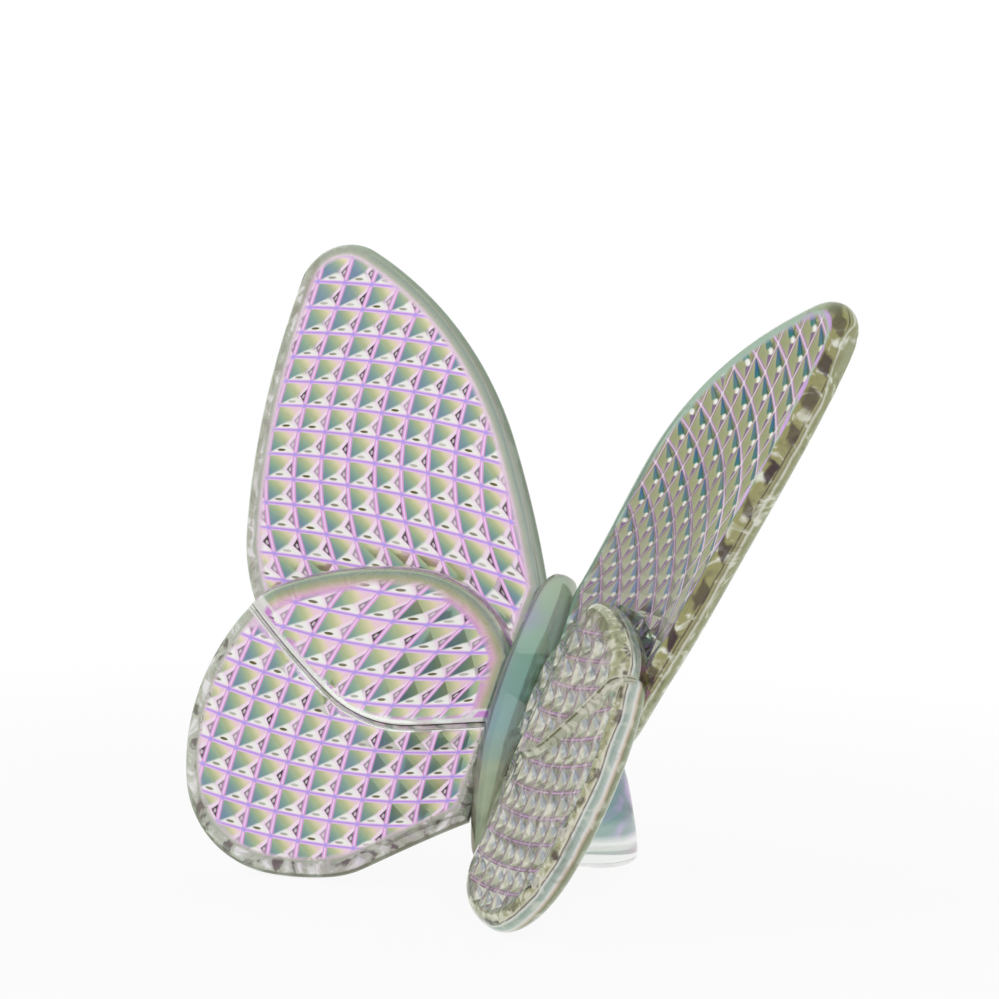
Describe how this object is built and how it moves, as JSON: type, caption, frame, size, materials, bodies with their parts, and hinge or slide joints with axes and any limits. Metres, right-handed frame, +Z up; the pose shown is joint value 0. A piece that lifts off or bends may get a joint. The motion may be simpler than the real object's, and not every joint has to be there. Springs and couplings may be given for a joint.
{
  "type": "butterfly ornament",
  "caption": "Clear iridescent glass butterfly with raised wings cut in a net of small pyramids, standing on a flared foot.",
  "frame": {"origin": "middle of the bounding box in plan, on the surface that the ornament stands on", "axes": "+Z up, +X to the viewer's right across the wings, -Y towards the viewer of the upper wing faces"},
  "size_m": [0.072, 0.0394, 0.0615],
  "materials": {
    "body_glass": "clear glass with a smooth iridescent coating, teal to olive",
    "foot_glass": "clear glass with a faint iridescent coating",
    "forewing_glass": "clear glass with an iridescent coating, magenta on the lands and green in the cells",
    "hindwing_glass": "clear glass with an iridescent coating, magenta on the lands and teal in the cells"
  },
  "bodies": {
    "root": {"body": "body_glass", "foot": "foot_glass", "left_forewing": "forewing_glass", "right_forewing": "forewing_glass", "left_hindwing": "hindwing_glass", "right_hindwing": "hindwing_glass"}
  },
  "joints": []
}
